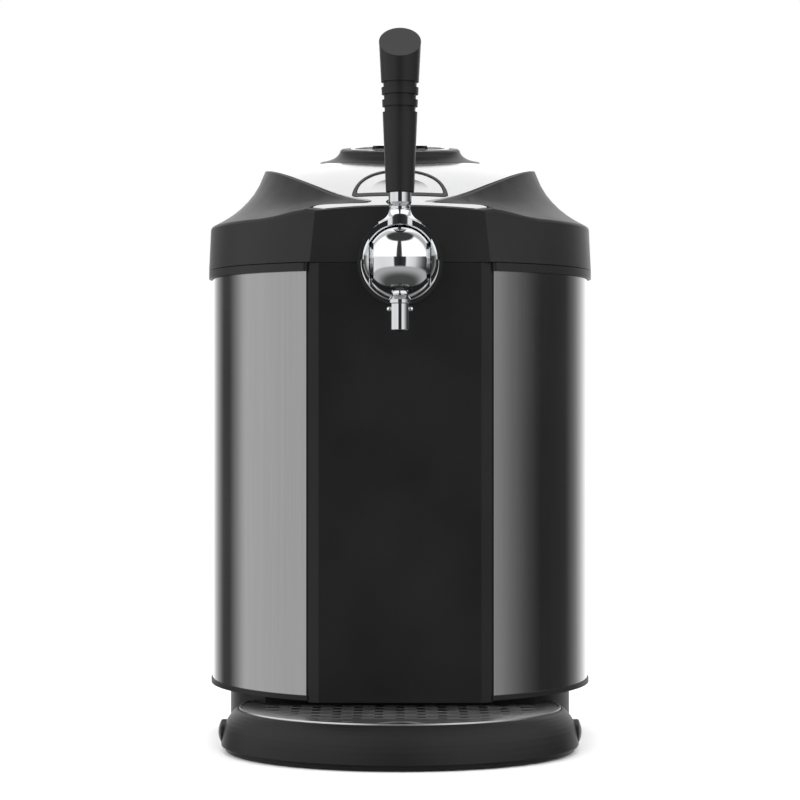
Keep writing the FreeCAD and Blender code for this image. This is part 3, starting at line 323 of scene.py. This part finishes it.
wo = wn("ShaderNodeOutputWorld")
tc = wn("ShaderNodeTexCoord")
sep = wn("ShaderNodeSeparateXYZ")
t.links.new(tc.outputs["Generated"], sep.inputs[0])
turn = wmath("ADD", wmath("DIVIDE", wmath("ARCTAN2", sep.outputs["X"], wmath("MULTIPLY", sep.outputs["Y"], -1.0)), 2.0 * math.pi), 0.5)


def around_ramp(stops):
    n = wn("ShaderNodeValToRGB")
    el = n.color_ramp.elements
    while len(el) > 1:
        el.remove(el[-1])
    el[0].position, el[0].color = stops[0][0], (stops[0][1],) * 3 + (1.0,)
    for pos, v in stops[1:]:
        el.new(pos).color = (v, v, v, 1.0)
    t.links.new(turn, n.inputs[0])
    return n.outputs[0]


def level(lo, hi):
    n = wn("ShaderNodeMapRange", interpolation_type="SMOOTHSTEP")
    n.inputs["From Min"].default_value = lo
    n.inputs["From Max"].default_value = hi
    t.links.new(sep.outputs["Z"], n.inputs["Value"])
    return n.outputs[0]


def over(a, b, lo, hi):
    """Colour a below the height lo, colour b above the height hi."""
    n = wn("ShaderNodeMix", data_type="RGBA")
    for i, v in ((6, a), (7, b)):
        if isinstance(v, float):
            n.inputs[i].default_value = (v, v, v, 1.0)
        else:
            t.links.new(v, n.inputs[i])
    t.links.new(level(lo, hi), n.inputs[0])
    return n.outputs[2]


# at the height of the walls
walls = around_ramp([(0.0, 1.0), (0.045, 1.0), (0.085, 0.42), (0.120, 0.06), (0.150, 0.055), (0.175, 0.30), (0.200, 0.62), (0.333, 0.56),
                     (0.440, 0.62), (0.450, 0.03), (0.5, 0.015), (0.550, 0.03), (0.560, 0.66), (0.640, 0.50), (0.667, 0.33), (0.722, 0.10), (0.760, 0.03),
                     (0.835, 0.04), (0.870, 0.20), (0.925, 0.85), (0.955, 1.0)])
# higher up: two large windows in front, and white behind
windows = around_ramp([(0.0, 1.0), (0.069, 1.0), (0.10, 0.5), (0.17, 0.4), (0.21, 0.95), (0.462, 1.0), (0.472, 0.03), (0.514, 0.03), (0.524, 1.0),
                       (0.76, 0.95), (0.80, 0.3), (0.86, 0.4), (0.92, 1.0)])
# overhead it is dark towards the front
ahead = wn("ShaderNodeMapRange", interpolation_type="SMOOTHSTEP")
ahead.inputs["From Min"].default_value = 0.10
ahead.inputs["From Max"].default_value = 0.34
ahead.inputs["To Min"].default_value = 1.0
ahead.inputs["To Max"].default_value = 0.0
t.links.new(sep.outputs["Y"], ahead.inputs["Value"])
roof = wn("ShaderNodeMix", data_type="RGBA")
roof.inputs[7].default_value = (0.035, 0.035, 0.035, 1.0)
t.links.new(wmath("MULTIPLY", level(0.83, 0.89), ahead.outputs[0]), roof.inputs[0])
t.links.new(windows, roof.inputs[6])
sky = over(over(over(0.05, 0.30, -0.85, -0.50), walls, -0.44, -0.34), roof.outputs[2], 0.12, 0.17)
around = wn("ShaderNodeBackground")
around.inputs["Strength"].default_value = 1.6
t.links.new(sky, around.inputs["Color"])
white = wn("ShaderNodeBackground")
white.inputs["Color"].default_value = (1.0, 1.0, 1.0, 1.0)
lp = wn("ShaderNodeLightPath")
ms = wn("ShaderNodeMixShader")
t.links.new(lp.outputs["Is Camera Ray"], ms.inputs[0])
t.links.new(around.outputs[0], ms.inputs[1])
t.links.new(white.outputs[0], ms.inputs[2])
t.links.new(ms.outputs[0], wo.inputs["Surface"])
